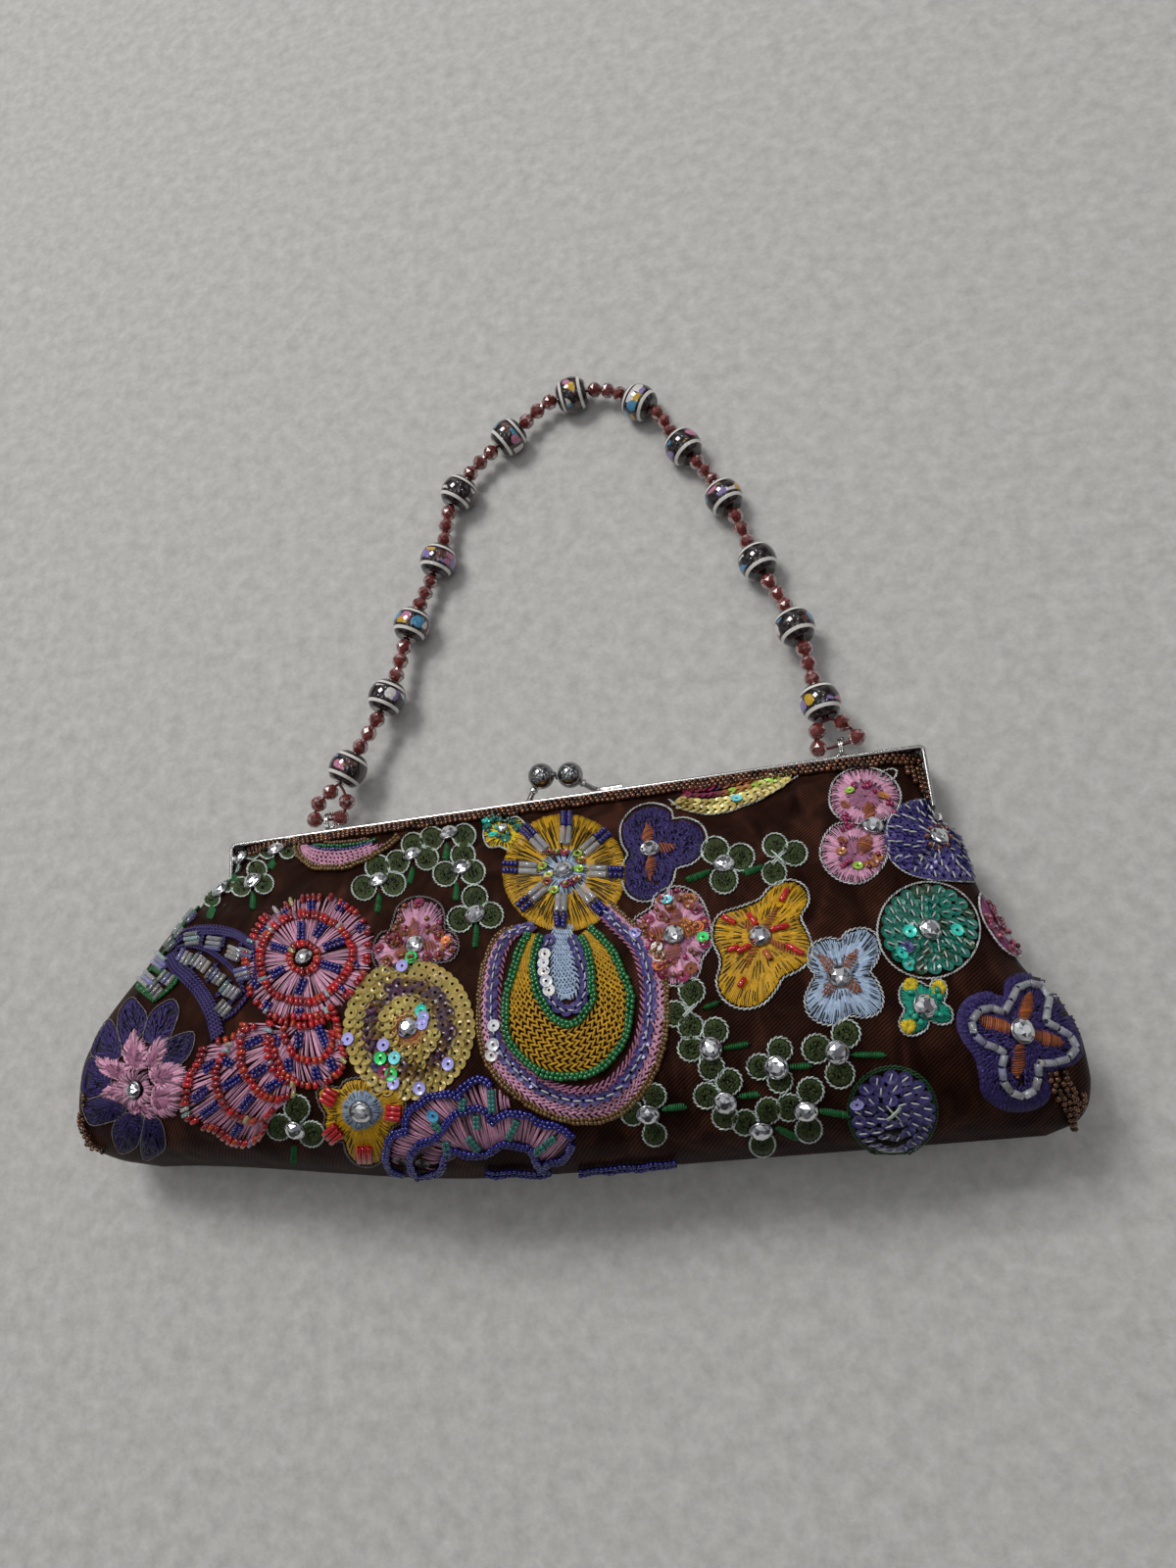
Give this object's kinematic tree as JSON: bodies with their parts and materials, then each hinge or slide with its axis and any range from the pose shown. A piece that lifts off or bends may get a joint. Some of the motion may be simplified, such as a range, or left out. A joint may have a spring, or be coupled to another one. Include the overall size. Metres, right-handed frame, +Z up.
{
  "type": "beaded evening bag",
  "caption": "Small evening handbag of dark satin with beaded and embroidered flowers, a metal kiss-lock frame and a handle strung of large and small beads, lying on its back",
  "frame": {"origin": "middle of the bag's footprint, bead handle included, on the surface it lies on", "axes": "+X along the frame, towards its right end as seen from the front; +Y from the bag's bottom towards the handle; +Z up, out of the embroidered front"},
  "size_m": [0.23, 0.2134, 0.043],
  "materials": {
    "satin": "dark chocolate brown satin, padded, soft sheen",
    "frame_metal": "bright silver-coloured plating",
    "bronze_beads": "small bronze seed beads sewn close together",
    "dark_glass_beads": "glossy near-black brown beads with white rings and confetti patches",
    "garnet_beads": "translucent faceted dusty garnet beads"
  },
  "bodies": {
    "root": {"bag_body": "satin", "frame_front": "frame_metal", "frame_back": "frame_metal", "hinge_left": "frame_metal", "hinge_right": "frame_metal", "ring_left": "frame_metal", "ring_right": "frame_metal", "trim_rail": "bronze_beads", "trim_arm": "bronze_beads", "corner_beads_left": "bronze_beads", "corner_beads_right": "bronze_beads", "bead_01": "dark_glass_beads", "bead_02": "dark_glass_beads", "bead_03": "dark_glass_beads", "bead_04": "dark_glass_beads", "bead_05": "dark_glass_beads", "bead_06": "dark_glass_beads", "bead_07": "dark_glass_beads", "bead_08": "dark_glass_beads", "bead_09": "dark_glass_beads", "bead_10": "dark_glass_beads", "bead_11": "dark_glass_beads", "bead_12": "dark_glass_beads", "bead_13": "dark_glass_beads", "bead_run_01": "garnet_beads", "bead_run_02": "garnet_beads", "bead_run_03": "garnet_beads", "bead_run_04": "garnet_beads", "bead_run_05": "garnet_beads", "bead_run_06": "garnet_beads", "bead_run_07": "garnet_beads", "bead_run_08": "garnet_beads", "bead_run_09": "garnet_beads", "bead_run_10": "garnet_beads", "bead_run_11": "garnet_beads", "bead_run_12": "garnet_beads", "loop_left": "garnet_beads", "loop_right": "garnet_beads"}
  },
  "joints": []
}
